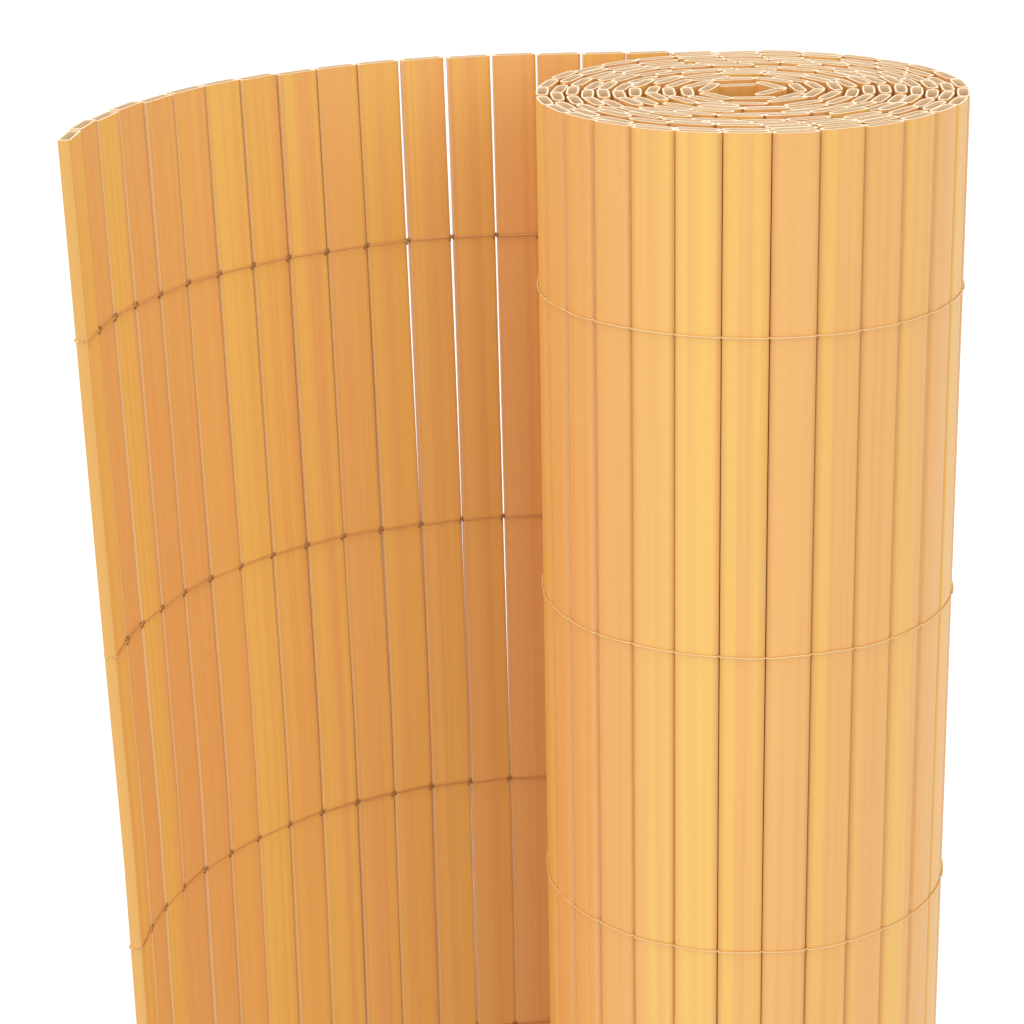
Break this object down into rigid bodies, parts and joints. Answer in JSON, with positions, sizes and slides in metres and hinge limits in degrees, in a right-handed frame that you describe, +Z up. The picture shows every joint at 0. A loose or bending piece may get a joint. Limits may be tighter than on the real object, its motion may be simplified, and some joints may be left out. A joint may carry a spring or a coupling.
{
  "type": "pvc privacy screen",
  "caption": "Privacy screen of hollow plastic slats bound side by side by rows of thread, stood on end half unrolled, with a curved panel leaving the roll to close off a fence or balcony",
  "frame": {"origin": "on the floor under the middle of the screen's plan", "axes": "+X from the free end of the panel towards the roll, +Y from the viewer to the back of the screen, +Z up along the slats"},
  "size_m": [0.2556, 0.138, 0.9],
  "materials": {
    "pvc_slats": "satin extruded plastic in streaky honey and amber tones, paler at the cut ends",
    "outer_thread": "clear monofilament",
    "inner_thread": "amber monofilament, knotted in the gaps"
  },
  "bodies": {
    "root": {"rolled_turns": "pvc_slats", "panel_slat_01": "pvc_slats", "panel_slat_02": "pvc_slats", "panel_slat_03": "pvc_slats", "panel_slat_04": "pvc_slats", "panel_slat_05": "pvc_slats", "panel_slat_06": "pvc_slats", "panel_slat_07": "pvc_slats", "panel_slat_08": "pvc_slats", "panel_slat_09": "pvc_slats", "panel_slat_10": "pvc_slats", "panel_slat_11": "pvc_slats", "panel_slat_12": "pvc_slats", "panel_slat_13": "pvc_slats", "panel_slat_14": "pvc_slats", "panel_slat_15": "pvc_slats", "panel_slat_16": "pvc_slats", "panel_slat_17": "pvc_slats", "panel_slat_18": "pvc_slats", "panel_slat_19": "pvc_slats", "outer_thread_1": "outer_thread", "outer_thread_2": "outer_thread", "outer_thread_3": "outer_thread", "outer_thread_4": "outer_thread", "outer_thread_5": "outer_thread", "outer_thread_6": "outer_thread", "outer_thread_7": "outer_thread", "outer_thread_8": "outer_thread", "outer_thread_9": "outer_thread", "inner_thread_1": "inner_thread", "inner_thread_2": "inner_thread", "inner_thread_3": "inner_thread", "inner_thread_4": "inner_thread", "inner_thread_5": "inner_thread", "inner_thread_6": "inner_thread", "inner_thread_7": "inner_thread", "inner_thread_8": "inner_thread", "inner_thread_9": "inner_thread"}
  },
  "joints": []
}
